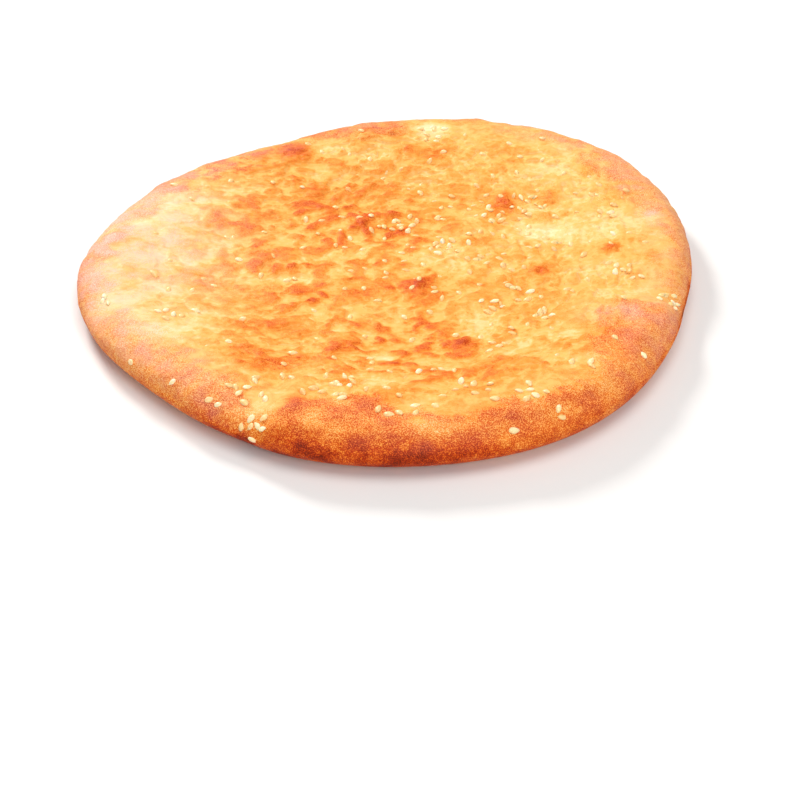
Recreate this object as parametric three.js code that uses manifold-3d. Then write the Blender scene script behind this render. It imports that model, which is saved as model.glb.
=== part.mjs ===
// Sesame naan: a round flatbread with a thick uneven rim, a sunken blistered middle and
// sesame seeds baked into its top. Millimetres, +Z up, lying on its flat underside with the
// origin at the middle of its footprint.
import * as THREE from "three";
import { mergeVertices } from "three/addons/utils/BufferGeometryUtils.js";
import Module from "manifold-3d";

// Driving dimensions of the bread
const RADIUS = 101; // mean radius of the outline
const RIM_HEIGHT = 15; // crest of the rim above the table
const CREST_INSET = 11; // from the outline in to the crest
const EQUATOR_HEIGHT = 7; // level at which the rounded edge is widest
const FOOT_INSET = 13; // from the outline in to where the underside meets the table
const MIDDLE_THICKNESS = 9; // bread left in the sunken middle
const MIDDLE_RADIUS = 48; // flat part of the middle, before it climbs to the rim

// The hand-stretched outline: waves round the edge as [waves per turn, height, angle of a peak in degrees]
const OUTLINE_WAVES = [
  [2, 3, 49],
  [3, 3.1, 52],
  [4, 0.6, 8],
  [5, 0.4, 30],
  [6, 0.6, 15],
  [7, 0.4, -13],
];
// Slow rise and fall of the rim's crest, in the same form. The rim stands higher where it bulges out.
const RIM_WAVES = [
  [2, 0.6, 48],
  [3, 0.9, 55],
  [7, 0.4, -8],
];
// Places where fingers pressed the rim down: [angle, half width clockwise, half width anticlockwise,
// depth], with the angles in degrees. The narrow side is where the dough swelled up beside the finger.
const RIM_DENTS = [
  [-116, 8, 4.5, 2.6],
  [-161, 10, 5, 2.4],
  [-15, 5, 10, 3.2],
  [82, 9, 9, 0.8],
];
const DENT_NOTCH = 0.2; // share of a dent's depth by which the outline draws in there

// Blisters raised in the middle by the oven's heat
const BLISTER_COUNT = 58;
const BLISTER_FIELD = 84; // radius of the area that holds them
const BLISTER_RADIUS = [4.5, 8];
const BLISTER_HEIGHT = [0.5, 1.3];

// Sesame seeds
const SEED_LENGTH = 3;
const SEED_WIDTH = 2.2;
const SEED_THICKNESS = 1.3;
const SEED_SIZE_SPREAD = 0.14; // seeds run this share larger or smaller
const SEED_TAPER = 0.38; // how much narrower the pointed end is than the middle
const SEED_SUNK = 0.4; // share of a seed's thickness below the crust
const LOOSE_SEEDS = 30;
const LOOSE_FIELD = 93; // radius of the area with loose seeds
// Heaps of seeds left by the baker's hand: [x, y, seeds, radius of the heap]
const SEED_HEAPS = [
  [-92, -30, 3, 3],
  [-70, -40, 5, 4],
  [-43, -77, 9, 7],
  [-41, -90, 7, 4],
  [-17, -77, 5, 9],
  [21, -79, 6, 6],
  [38, -81, 6, 5],
  [30, -27, 5, 4],
  [42, -21, 5, 5],
  [46, -33, 5, 3],
  [75, -11, 7, 5],
  [87, -24, 8, 4],
  [73, 27, 4, 4],
  [33, -95, 1, 0],
  [46, -87, 2, 2],
  [66, -52, 1, 0],
  [74, -58, 1, 0],
  [58, -66, 2, 2],
  [-80, -59, 1, 0],
  [-54, -80, 2, 3],
  [-66, -71, 1, 0],
  [13, 84, 8, 6],
  [32, 31, 9, 6],
  [45, 37, 8, 6],
  [3, 25, 9, 6],
  [20, 12, 7, 7],
];

// Fineness of the facets
const SECTORS = 86;
const MIDDLE_RINGS = 9;
const CLIMB_RINGS = 7;
const EDGE_RINGS = 5;
const FOOT_RINGS = 1;
const SEED_SIDES = 6;
const SEED_RINGS = 3;

const GOLDEN_ANGLE = Math.PI * (3 - Math.sqrt(5));
const CRUST_COLOUR = 0xe59a4a;

const wasm = await Module();
wasm.setup();

// A repeatable draw between 0 and 1 for each whole number
function draw(n) {
  const s = Math.sin(n * 127.1 + 311.7) * 43758.5453;
  return s - Math.floor(s);
}

function between([low, high], share) {
  return low + (high - low) * share;
}

function smooth(t) {
  const c = THREE.MathUtils.clamp(t, 0, 1);
  return c * c * (3 - 2 * c);
}

function sumOfWaves(waves, angle) {
  return waves.reduce(
    (sum, [count, height, peak]) => sum + height * Math.cos(count * (angle - THREE.MathUtils.degToRad(peak))),
    0,
  );
}

// Depth to which the rim is pressed down at an angle
function dentDepth(angle) {
  return RIM_DENTS.reduce((sum, [at, clockwise, anticlockwise, depth]) => {
    const off = THREE.MathUtils.euclideanModulo(THREE.MathUtils.radToDeg(angle) - at + 180, 360) - 180;
    const halfWidth = off < 0 ? clockwise : anticlockwise;
    return sum + depth * Math.exp(-((off / halfWidth) ** 2));
  }, 0);
}

function outlineRadius(angle) {
  return RADIUS + sumOfWaves(OUTLINE_WAVES, angle) - DENT_NOTCH * dentDepth(angle);
}

// Blisters stand on a sunflower spiral, shifted a little so that no rows show
function blisterField() {
  return Array.from({ length: BLISTER_COUNT }, (_, i) => {
    const reach = BLISTER_FIELD * Math.sqrt((i + 0.5) / BLISTER_COUNT);
    const angle = i * GOLDEN_ANGLE + 0.5 * draw(i);
    return {
      x: reach * Math.cos(angle),
      y: reach * Math.sin(angle),
      radius: between(BLISTER_RADIUS, draw(i + 100)),
      height: between(BLISTER_HEIGHT, draw(i + 200) ** 2),
    };
  });
}
const blisters = blisterField();

function blisterHeight(x, y) {
  return blisters.reduce((sum, b) => {
    const away = ((x - b.x) ** 2 + (y - b.y) ** 2) / b.radius ** 2;
    return sum + b.height * Math.exp(-2 * away);
  }, 0);
}

// Half of the bread's section, from the middle of the underside round the edge to the middle of the top
function sectionPoints() {
  const crest = RADIUS - CREST_INSET;
  const foot = RADIUS - FOOT_INSET;
  const points = [];
  for (let i = 0; i <= FOOT_RINGS; i++) {
    points.push(new THREE.Vector2((foot * i) / FOOT_RINGS, 0));
  }
  for (let i = 1; i <= EDGE_RINGS; i++) {
    const turn = (Math.PI / 2) * (i / EDGE_RINGS);
    points.push(
      new THREE.Vector2(foot + FOOT_INSET * Math.sin(turn), EQUATOR_HEIGHT * (1 - Math.cos(turn))),
    );
  }
  for (let i = 1; i <= EDGE_RINGS; i++) {
    const turn = (Math.PI / 2) * (i / EDGE_RINGS);
    const rise = RIM_HEIGHT - EQUATOR_HEIGHT;
    points.push(new THREE.Vector2(crest + CREST_INSET * Math.cos(turn), EQUATOR_HEIGHT + rise * Math.sin(turn)));
  }
  for (let i = 1; i <= CLIMB_RINGS; i++) {
    const t = 1 - i / CLIMB_RINGS;
    const climb = RIM_HEIGHT - MIDDLE_THICKNESS;
    points.push(
      new THREE.Vector2(THREE.MathUtils.lerp(MIDDLE_RADIUS, crest, t), MIDDLE_THICKNESS + climb * smooth(t)),
    );
  }
  for (let i = 1; i <= MIDDLE_RINGS; i++) {
    points.push(new THREE.Vector2(MIDDLE_RADIUS * (1 - i / MIDDLE_RINGS), MIDDLE_THICKNESS));
  }
  return points;
}

// The turned section, pulled out to the uneven outline and given its rim waves, dents and blisters
function breadGeometry() {
  const bread = new THREE.LatheGeometry(sectionPoints(), SECTORS).rotateX(Math.PI / 2);
  const position = bread.getAttribute("position");
  for (let i = 0; i < position.count; i++) {
    const reach = Math.hypot(position.getX(i), position.getY(i));
    const angle = Math.atan2(position.getY(i), position.getX(i));
    const level = position.getZ(i);
    const stretch = outlineRadius(angle) / RADIUS;
    const x = position.getX(i) * stretch;
    const y = position.getY(i) * stretch;
    const onTop = smooth((level - EQUATOR_HEIGHT) / (MIDDLE_THICKNESS - EQUATOR_HEIGHT));
    const onRim = smooth((reach - MIDDLE_RADIUS) / (RADIUS - CREST_INSET - MIDDLE_RADIUS));
    const rim = onRim * (sumOfWaves(RIM_WAVES, angle) - dentDepth(angle));
    position.setXYZ(i, x, y, level + onTop * (rim + (1 - onRim) * blisterHeight(x, y)));
  }
  return bread;
}

// A closed surface as a solid that can be joined to others
function solidOf(geometry) {
  const bare = new THREE.BufferGeometry()
    .setAttribute("position", geometry.getAttribute("position"))
    .setIndex(geometry.index);
  const merged = mergeVertices(bare, 1e-3);
  const triangles = [];
  for (let i = 0; i < merged.index.count; i += 3) {
    const [a, b, c] = [0, 1, 2].map((k) => merged.index.getX(i + k));
    if (a !== b && b !== c && c !== a) triangles.push(a, b, c);
  }
  return new wasm.Manifold(
    new wasm.Mesh({
      numProp: 3,
      vertProperties: merged.getAttribute("position").array,
      triVerts: new Uint32Array(triangles),
    }),
  );
}

function geometryOf(solid) {
  const mesh = solid.getMesh();
  const geometry = new THREE.BufferGeometry()
    .setAttribute("position", new THREE.BufferAttribute(mesh.vertProperties, 3))
    .setIndex(new THREE.BufferAttribute(mesh.triVerts, 1));
  geometry.computeVertexNormals();
  return geometry;
}

// Where the seeds lie, seen from above, with the way each one points and its share of the usual size
function seedPlaces() {
  const places = [];
  const add = (x, y) => {
    const n = places.length;
    places.push({ x, y, spin: 2 * Math.PI * draw(n + 500), size: 1 + SEED_SIZE_SPREAD * (2 * draw(n + 900) - 1) });
  };
  for (const [x, y, count, radius] of SEED_HEAPS) {
    for (let i = 0; i < count; i++) {
      const n = places.length;
      const reach = radius * Math.sqrt((i + draw(n + 600)) / count);
      const angle = i * GOLDEN_ANGLE + x + draw(n + 700);
      add(x + reach * Math.cos(angle), y + reach * Math.sin(angle));
    }
  }
  for (let i = 0; i < LOOSE_SEEDS; i++) {
    const reach = LOOSE_FIELD * Math.sqrt((i + draw(i + 300)) / LOOSE_SEEDS);
    const angle = i * GOLDEN_ANGLE + draw(i + 400);
    add(reach * Math.cos(angle), reach * Math.sin(angle));
  }
  return places;
}

// A seed lying along X, blunt at -X and drawn to a point at +X
function seedGeometry() {
  const seed = new THREE.SphereGeometry(1, SEED_SIDES, SEED_RINGS).rotateZ(-Math.PI / 2);
  const position = seed.getAttribute("position");
  for (let i = 0; i < position.count; i++) {
    const along = position.getX(i);
    const girth = 1 - SEED_TAPER * Math.max(along, 0);
    position.setXYZ(
      i,
      (along * SEED_LENGTH) / 2,
      (position.getY(i) * girth * SEED_WIDTH) / 2,
      (position.getZ(i) * girth * SEED_THICKNESS) / 2,
    );
  }
  return seed;
}

// Each seed dropped straight down onto the bread, laid flat on the crust and sunk into it
function seedSolids(bread) {
  const ground = new THREE.Mesh(bread);
  const above = new THREE.Raycaster();
  const seed = seedGeometry();
  return seedPlaces().flatMap(({ x, y, spin, size }) => {
    above.set(new THREE.Vector3(x, y, 2 * RIM_HEIGHT), new THREE.Vector3(0, 0, -1));
    const [hit] = above.intersectObject(ground);
    if (!hit) return [];
    const up = new THREE.Vector3(0, 0, 1);
    const turn = new THREE.Quaternion().setFromUnitVectors(up, hit.face.normal);
    turn.multiply(new THREE.Quaternion().setFromAxisAngle(up, spin));
    const lift = SEED_THICKNESS * size * (0.5 - SEED_SUNK);
    const at = hit.point.addScaledVector(hit.face.normal, lift);
    const place = new THREE.Matrix4().compose(at, turn, new THREE.Vector3(size, size, size));
    return [solidOf(seed.clone().applyMatrix4(place))];
  });
}

const bread = geometryOf(solidOf(breadGeometry()));
const whole = wasm.Manifold.union([solidOf(bread), ...seedSolids(bread)]);
const naan = new THREE.Mesh(
  geometryOf(whole),
  new THREE.MeshStandardMaterial({ color: CRUST_COLOUR, roughness: 0.6, metalness: 0 }),
);
naan.name = "naan";

// The footprint's middle sits at the origin
const box = new THREE.Box3().setFromObject(naan);
const middle = box.getCenter(new THREE.Vector3());
naan.position.set(-middle.x, -middle.y, -box.min.z);

const group = new THREE.Group();
group.add(naan);

export default group;
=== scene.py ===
# %% [markdown]
# # A sesame naan
# The real thing is one round flatbread: dough slapped flat by hand, pressed thin in the middle,
# left thick at the rim, sprinkled with sesame and baked until the rim browns and the middle
# blisters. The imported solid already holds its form. Here the same rule is drawn again with far
# more points, so that the crust can carry wrinkles, blisters and browning, and the seeds get a
# shape and colour of their own.

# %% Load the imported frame
import math

import bpy
import numpy as np
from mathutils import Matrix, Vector


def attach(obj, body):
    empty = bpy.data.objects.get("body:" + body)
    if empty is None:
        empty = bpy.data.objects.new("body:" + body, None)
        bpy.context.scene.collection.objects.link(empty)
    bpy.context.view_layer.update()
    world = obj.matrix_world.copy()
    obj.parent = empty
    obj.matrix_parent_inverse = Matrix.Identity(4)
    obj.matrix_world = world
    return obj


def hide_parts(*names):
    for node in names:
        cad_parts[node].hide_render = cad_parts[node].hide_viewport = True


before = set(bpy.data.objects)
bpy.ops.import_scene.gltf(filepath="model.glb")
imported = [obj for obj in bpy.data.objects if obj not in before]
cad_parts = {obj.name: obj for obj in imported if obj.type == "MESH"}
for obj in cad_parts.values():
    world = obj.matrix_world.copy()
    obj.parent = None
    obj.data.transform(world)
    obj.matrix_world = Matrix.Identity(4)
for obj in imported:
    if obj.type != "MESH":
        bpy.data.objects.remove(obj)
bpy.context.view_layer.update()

# %% [markdown]
# ## The bread's rule
# A naan could be sculpted, but its form follows a short rule: a section is turned round the
# middle, pulled out to an uneven outline, then pressed down where fingers dented the rim. The
# sizes below are those of the solid, so what is drawn here stays where the solid is.

# %% Driving sizes
MM = 0.001
RADIUS = 101 * MM
RIM_HEIGHT = 15 * MM
CREST_INSET = 11 * MM
EQUATOR_HEIGHT = 7 * MM
FOOT_INSET = 13 * MM
MIDDLE_THICKNESS = 9 * MM
MIDDLE_RADIUS = 48 * MM
CREST_RADIUS = RADIUS - CREST_INSET
FOOT_RADIUS = RADIUS - FOOT_INSET

# Waves round the edge: waves per turn, height, angle of a peak in degrees
OUTLINE_WAVES = [
    (2, 3.0 * MM, 49),
    (3, 3.1 * MM, 52),
    (4, 0.6 * MM, 8),
    (5, 0.4 * MM, 30),
    (6, 0.6 * MM, 15),
    (7, 0.4 * MM, -13),
]
RIM_WAVES = [(2, 0.6 * MM, 48), (3, 0.9 * MM, 55), (7, 0.4 * MM, -8)]
# Finger dents in the rim: angle, half width clockwise and anticlockwise in degrees, depth
RIM_DENTS = [
    (-116, 8, 4.5, 2.6 * MM),
    (-161, 10, 5, 2.4 * MM),
    (-15, 5, 10, 3.2 * MM),
    (82, 9, 9, 0.8 * MM),
]
DENT_NOTCH = 0.2


def smooth(t):
    c = np.clip(t, 0, 1)
    return c * c * (3 - 2 * c)


def draw(n):
    """A repeatable number between 0 and 1 for each whole number, the same draw as in the solid."""
    s = np.sin(n * 127.1 + 311.7) * 43758.5453
    return s - np.floor(s)


def sum_of_waves(waves, angle):
    return sum(height * np.cos(count * (angle - math.radians(peak))) for count, height, peak in waves)


def angle_between(angle, degrees):
    """How far an angle in radians lies from one in degrees, in degrees from -180 to 180."""
    return (np.degrees(angle) - degrees + 180) % 360 - 180


def dent_depth(angle):
    total = np.zeros_like(angle)
    for at, clockwise, anticlockwise, depth in RIM_DENTS:
        off = angle_between(angle, at)
        total += depth * np.exp(-((off / np.where(off < 0, clockwise, anticlockwise)) ** 2))
    return total


def outline_radius(angle):
    return RADIUS + sum_of_waves(OUTLINE_WAVES, angle) - DENT_NOTCH * dent_depth(angle)


# %% [markdown]
# ## Blisters
# Steam lifts the thin middle into low domes. They could be set one by one, but a sunflower's
# spiral spreads them evenly with no rows to be seen. Each dome is then turned a little off the
# spiral and takes its own width and height.

# %% Blisters on a sunflower spiral
GOLDEN_ANGLE = math.pi * (3 - math.sqrt(5))
BLISTER_COUNT = 58
BLISTER_FIELD = 84 * MM
BLISTER_RADIUS = (4.5 * MM, 8 * MM)
BLISTER_HEIGHT = (0.5 * MM, 1.3 * MM)
BLISTER_TURN = 0.5


def between(limits, share):
    return limits[0] + (limits[1] - limits[0]) * share


def blister_height(x, y):
    total = np.zeros_like(x)
    for i in range(BLISTER_COUNT):
        reach = BLISTER_FIELD * math.sqrt((i + 0.5) / BLISTER_COUNT)
        angle = i * GOLDEN_ANGLE + BLISTER_TURN * draw(i)
        radius = between(BLISTER_RADIUS, draw(i + 100))
        away = (x - reach * math.cos(angle)) ** 2 + (y - reach * math.sin(angle)) ** 2
        total += between(BLISTER_HEIGHT, draw(i + 200) ** 2) * np.exp(-2 * away / radius**2)
    return total


# %% [markdown]
# ## A mesh of rings
# A turned mesh with the same number of points in every ring bunches up at its middle. Here each
# ring takes as many points as its length needs, and neighbouring rings are zipped together, so
# the triangles stay even from the middle of the top to the middle of the underside.

# %% The section as rings
TOP_STEP = 0.6 * MM
EDGE_STEP = 1.0 * MM
UNDER_STEP = 2.4 * MM


def quarter_turn(reach, rise):
    """Angles that step evenly along a quarter of an ellipse."""
    length = math.pi / 2 * math.sqrt((reach**2 + rise**2) / 2)
    steps = math.ceil(length / EDGE_STEP)
    return np.linspace(0, math.pi / 2, steps + 1)[1:]


def section_rings():
    """Radius, height and point spacing of each ring, from the top's middle to the underside's."""
    top = np.linspace(0, CREST_RADIUS, math.ceil(CREST_RADIUS / TOP_STEP) + 1)
    climb = smooth((top - MIDDLE_RADIUS) / (CREST_RADIUS - MIDDLE_RADIUS))
    heights = between((MIDDLE_THICKNESS, RIM_HEIGHT), climb)
    rings = [(r, h, TOP_STEP) for r, h in zip(top, heights)]
    rise = RIM_HEIGHT - EQUATOR_HEIGHT
    for turn in quarter_turn(CREST_INSET, rise):
        reach = CREST_RADIUS + CREST_INSET * math.sin(turn)
        rings.append((reach, EQUATOR_HEIGHT + rise * math.cos(turn), EDGE_STEP))
    for turn in quarter_turn(FOOT_INSET, EQUATOR_HEIGHT):
        reach = FOOT_RADIUS + FOOT_INSET * math.cos(turn)
        rings.append((reach, EQUATOR_HEIGHT * (1 - math.sin(turn)), EDGE_STEP))
    under = np.linspace(FOOT_RADIUS, 0, math.ceil(FOOT_RADIUS / UNDER_STEP) + 1)[1:]
    rings += [(r, 0.0, UNDER_STEP) for r in under]
    return rings


def zip_rings(first, first_count, second, second_count):
    """Triangles between two rings of points, advancing round whichever ring lags behind."""
    faces = []
    i = j = 0
    while i < first_count or j < second_count:
        second_lags = (j + 1) * first_count <= (i + 1) * second_count
        on_second = j < second_count and (i >= first_count or second_lags)
        a = first + i % first_count
        b = second + j % second_count
        if on_second:
            j += 1
            c = second + j % second_count
        else:
            i += 1
            c = first + i % first_count
        if len({a, b, c}) == 3:
            faces.append((a, b, c))
    return faces


# %% Points of every ring, and the faces between them
rings = section_rings()
counts = [max(1, round(2 * math.pi * radius / step)) for radius, _, step in rings]
starts = np.concatenate([[0], np.cumsum(counts)])
reach = np.concatenate([np.full(n, ring[0]) for n, ring in zip(counts, rings)])
level = np.concatenate([np.full(n, ring[1]) for n, ring in zip(counts, rings)])
angle = np.concatenate([2 * math.pi * np.arange(n) / n for n in counts])
under_first = next(i for i, ring in enumerate(rings) if i > 0 and ring[1] == 0.0)
on_underside = np.arange(len(reach)) >= starts[under_first]

faces = []
for k in range(len(rings) - 1):
    faces += zip_rings(int(starts[k]), counts[k], int(starts[k + 1]), counts[k + 1])
print("bread:", len(reach), "points,", len(faces), "triangles")

# %% [markdown]
# ## Seeds, seen from above
# Sprinkled sesame lands in heaps, with loose seeds between. The heaps and the first loose seeds
# are those of the solid. Two more scatters add seeds that are sunk deeper in the crust: loose
# ones, thickest to the right of the middle and behind it, and small heaps along the front.

# %% Where the seeds lie
LOOSE_SEEDS = 30
LOOSE_FIELD = 93 * MM
# Heaps: x and y in mm, seeds, radius of the heap in mm
SEED_HEAPS = [
    (-92, -30, 3, 3), (-70, -40, 5, 4), (-43, -77, 9, 7), (-41, -90, 7, 4), (-17, -77, 5, 9),
    (21, -79, 6, 6), (38, -81, 6, 5), (30, -27, 5, 4), (42, -21, 5, 5), (46, -33, 5, 3),
    (75, -11, 7, 5), (87, -24, 8, 4), (73, 27, 4, 4), (33, -95, 1, 0), (46, -87, 2, 2),
    (66, -52, 1, 0), (74, -58, 1, 0), (58, -66, 2, 2), (-80, -59, 1, 0), (-54, -80, 2, 3),
    (-66, -71, 1, 0), (13, 84, 8, 6), (32, 31, 9, 6), (45, 37, 8, 6), (3, 25, 9, 6),
    (20, 12, 7, 7),
]
FRONT_HEAPS = [
    (-19, -81, 4, 5), (-14, -74, 3, 4), (-8, -58, 2, 2), (-2, -67, 1, 0), (-1, -81, 2, 4),
    (-4, -90, 2, 3), (5, -90, 2, 3), (11, -85, 2, 4), (-32, -71, 2, 4), (-30, -57, 2, 6),
    (-51, -52, 1, 0), (13, -65, 2, 3), (30, -51, 4, 4), (28, -85, 1, 0),
]


def heap_places(heaps):
    """Seeds of each heap, wound out from its middle as on a sunflower."""
    places = []
    for x, y, count, radius in heaps:
        for i in range(count):
            n = len(places)
            away = radius * math.sqrt((i + draw(n + 600)) / count)
            turn = i * GOLDEN_ANGLE + x + draw(n + 700)
            places.append(((x + away * math.cos(turn)) * MM, (y + away * math.sin(turn)) * MM))
    return places


def loose_places(count, field, first_draw):
    """Loose seeds over a round field, each off the sunflower's spiral by chance."""
    places = []
    for i in range(count):
        away = field * math.sqrt((i + draw(i + first_draw)) / count)
        turn = i * GOLDEN_ANGLE + draw(i + first_draw + 100)
        places.append((away * math.cos(turn), away * math.sin(turn)))
    return places


# %% Which of the extra loose seeds are kept
EXTRA_SEEDS = 520
EXTRA_FIELD = 86 * MM
THICKEST_AT = (32 * MM, 22 * MM)
THICK_SPREAD = 48 * MM
KEPT_FAR, KEPT_NEAR = 0.08, 0.85


def extra_places():
    """Loose seeds, kept more often the nearer they fall to where they lie thickest."""
    places = []
    for i, place in enumerate(loose_places(EXTRA_SEEDS, EXTRA_FIELD, 1300)):
        nearness = math.exp(-((math.dist(place, THICKEST_AT) / THICK_SPREAD) ** 2))
        if draw(i + 1500) < KEPT_FAR + KEPT_NEAR * nearness:
            places.append(place)
    return places


shared_seeds = heap_places(SEED_HEAPS) + loose_places(LOOSE_SEEDS, LOOSE_FIELD, 300)
extra_seeds = extra_places()
seeds = np.array(shared_seeds + extra_seeds + heap_places(FRONT_HEAPS))
deep_from = len(shared_seeds)
front_from = deep_from + len(extra_seeds)
print("seeds:", len(seeds), "of which sunk deeper:", len(seeds) - deep_from)

# %% [markdown]
# ## Browning
# An oven browns what stands highest and driest: the rim, the tops of folds, and spots where the
# dough scorched. Damp places stay pale. Flour left from shaping dulls the rim to pink, and the
# same pinkish pale stands in for a painted sheen on the rim and the left side. The rim's outer side
# darkens towards the foot, partly by browning and partly by painted shade. Chance alone would put
# these marks anywhere, so the ones that stand out in the photo are listed: as soft ovals on the
# top, and as values by angle round the rim.

# %% Scorched spots, the rim's browning, flour with painted sheen, and pale places
# Spots: x and y in mm, half length from side to side and from front to back, strength
SPOTS = [
    (-38, 71, 7, 6, 1.0), (-51, 68, 5, 4, 0.7), (-10, 85, 7, 4, 0.8), (3, 73, 6, 4, 0.7),
    (14, 70, 9, 5, 0.6), (-5, 50, 8, 4, 0.7), (-29, 42, 8, 6, 0.55), (-44, 29, 9, 4, 0.6),
    (-62, 25, 3, 4, 0.75), (-55, 33, 3, 3, 0.6), (-92, 4, 6, 4, 0.5), (-12, 24, 4, 4, 0.9),
    (-2, 31, 4, 3, 0.8), (37, 37, 7, 8, 0.85), (52, 39, 5, 6, 0.7), (50, 28, 6, 4, 0.5),
    (27, 13, 7, 4, 0.5), (7, -15, 5, 6, 1.0), (-11, -19, 8, 5, 0.8), (-44, 4, 8, 5, 0.75),
    (-43, -17, 8, 5, 0.6), (-57, -16, 12, 4, 0.6), (-47, -23, 8, 4, 0.6), (47, -6, 6, 5, 0.7),
    (36, -14, 6, 5, 0.4), (71, 3, 4, 3, 0.8), (84, -4, 4, 6, 0.5), (-46, -56, 8, 5, 0.8),
    (-36, -62, 10, 5, 0.85), (-47, -39, 14, 3, 0.5), (-32, -42, 8, 4, 0.6), (-10, -36, 5, 4, 0.6),
    (-40, -4, 6, 4, 0.6), (-16, -75, 7, 4, 0.6), (-25, -58, 7, 5, 0.7), (20, -49, 5, 4, 1.0),
    (30, -62, 8, 4, 0.45), (-29, -87, 4, 7, 1.0), (-5, -85, 9, 6, 0.35), (29, -91, 8, 4, 0.65),
    (52, -82, 8, 4, 0.65), (33, -69, 9, 2, 0.5), (66, -49, 8, 5, 0.55), (72, -52, 5, 5, 0.6),
    (50, -72, 14, 2, 0.4), (80, 38, 9, 8, 0.5),
]
# The browned rim: angle in degrees, where it starts as a share of the radius, how brown it is
RIM_BROWNING = [
    (-180, 0.86, 0.56), (-168, 0.89, 0.48), (-161, 0.94, 0.20), (-156, 0.88, 0.44),
    (-144, 0.85, 0.36), (-124, 0.84, 0.40), (-118, 0.90, 0.35), (-113, 0.94, 0.25),
    (-109, 0.88, 0.55), (-104, 0.81, 0.50), (-98, 0.78, 0.46), (-93, 0.82, 0.43),
    (-88, 0.87, 0.43), (-80, 0.89, 0.44), (-71, 0.87, 0.47), (-60, 0.89, 0.46), (-50, 0.87, 0.42),
    (-43, 0.80, 0.35), (-36, 0.74, 0.34), (-27, 0.74, 0.37), (-23, 0.77, 0.37), (-19, 0.94, 0.20),
    (-16, 0.95, 0.15), (-8, 0.90, 0.30), (4, 0.89, 0.32), (24, 0.79, 0.40), (44, 0.83, 0.38),
    (58, 0.88, 0.28), (84, 0.90, 0.30), (92, 0.80, 0.50), (102, 0.82, 0.52), (109, 0.91, 0.38),
    (118, 0.89, 0.42), (132, 0.85, 0.58), (148, 0.82, 0.70), (160, 0.83, 0.62), (180, 0.86, 0.56),
]
# How sharp that start is: angle in degrees, times the usual
RIM_SHARPNESS = [(-180, 1.0), (-140, 1.2), (-114, 2.4), (-62, 2.0), (-35, 1.3), (0, 1.0), (180, 1.0)]
# The rim's outer side: angle in degrees, how brown it is, with painted shade in that value too
OUTER_BROWNING_AND_SHADE = [
    (-180, 1.10), (-165, 1.10), (-145, 0.58), (-128, 0.85), (-112, 1.50), (-90, 1.36),
    (-78, 1.10), (-60, 0.92), (-30, 0.72), (20, 0.68), (90, 0.85), (120, 1.05), (150, 1.20),
    (180, 1.10),
]
# Flour left on the rim, with painted sheen in it: angle in degrees, how much
RIM_FLOUR_AND_SHEEN = [
    (-180, 0.75), (-155, 0.55), (-130, 0.28), (-112, 0.02), (-85, 0.05), (-60, 0.03), (-40, 0.11),
    (-24, 0.28), (-10, 0.18), (10, 0.27), (35, 0.34), (60, 0.22), (80, 0.0), (96, 0.20),
    (112, 0.05), (135, 0.24), (155, 0.56), (180, 0.75),
]
# Patches of flour with painted sheen, and pale places, both in the form of the spots
FLOUR_AND_SHEEN_PATCHES = [
    (-84, 6, 24, 42, 0.72), (70, -37, 11, 6, 0.45), (82, 40, 5, 2, 0.8), (88, 23, 4, 3, 0.9),
]
PALE_PATCHES = [
    (-78, 10, 28, 34, 0.9), (-80, 5, 12, 4, 1.3), (-75, -21, 9, 5, 1.1), (-64, -44, 20, 13, 0.9),
    (-68, -48, 11, 5, 1.4), (-88, -30, 12, 9, 0.8), (-40, -88, 6, 9, 0.5), (-28, 74, 6, 6, 1.2),
    (-28, 59, 7, 5, 0.7), (-28, -15, 7, 5, 0.6), (9, 22, 6, 6, 0.7), (-4, 8, 6, 5, 0.7),
    (27, -10, 7, 5, 0.7), (-1, -12, 4, 4, 0.9), (-6, -57, 8, 4, 0.8), (-3, -43, 6, 4, 0.7),
    (24, -33, 16, 8, 0.8), (35, -54, 8, 7, 0.9), (34, -88, 6, 3, 0.6), (6, -48, 6, 4, 0.7),
    (12, -62, 8, 5, 0.8), (52, -44, 9, 5, 0.8), (78, -22, 20, 9, 0.7), (60, 18, 30, 38, 0.75),
    (42, -2, 45, 52, 0.4), (13, 87, 9, 7, 0.8), (48, 78, 16, 8, 0.5), (-2, -31, 6, 6, 0.5),
    (-10, -74, 34, 7, 0.55), (-25, -93, 3, 3, 0.8), (-15, -86, 4, 2, 0.8), (-19, -97, 3, 2, 0.5),
    (5, -86, 9, 5, 0.7), (10, -96, 7, 3, 0.7), (54, -64, 11, 4, 0.6),
]


def strongest(patches, x, y):
    """The strongest of a list of soft oval patches at each point."""
    total = np.zeros_like(x)
    for at_x, at_y, across, away, strength in patches:
        off = ((x / MM - at_x) / across) ** 2 + ((y / MM - at_y) / away) ** 2
        total = np.maximum(total, strength * np.exp(-off))
    return total


# %% Browning, flour with painted sheen, and painted shade at the rim's foot, at each point
RIM_BLEND = 0.09
FOOT_FADE = 5 * MM
FOOT_PULL = 4
# How much of the outer side's browning shows, at the crest and at the foot; the rise towards the foot
# is partly painted shade
OUTER_SHARE = (0.5, 1.05)
FLOUR_AND_SHEEN_FROM = 0.78
FLOUR_AND_SHEEN_BLEND = 0.12
FLOUR_AND_SHEEN_RISE = 5 * MM


def by_angle(rows, angle):
    """A value that is listed by angle, read between its rows."""
    return np.interp(np.degrees(angle), *zip(*rows))


def rim_browning(angle, reach, level):
    """How far each point lies past the line where the rim starts to brown, and how brown the rim's
    top gets there. Points near the foot are drawn back behind the line."""
    at, starts, strengths = zip(*RIM_BROWNING)
    past = (reach / RADIUS - by_angle(zip(at, starts), angle)) / RIM_BLEND
    past *= by_angle(RIM_SHARPNESS, angle)
    past -= FOOT_PULL * (1 - smooth(level / FOOT_FADE))
    return past, by_angle(zip(at, strengths), angle)


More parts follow.
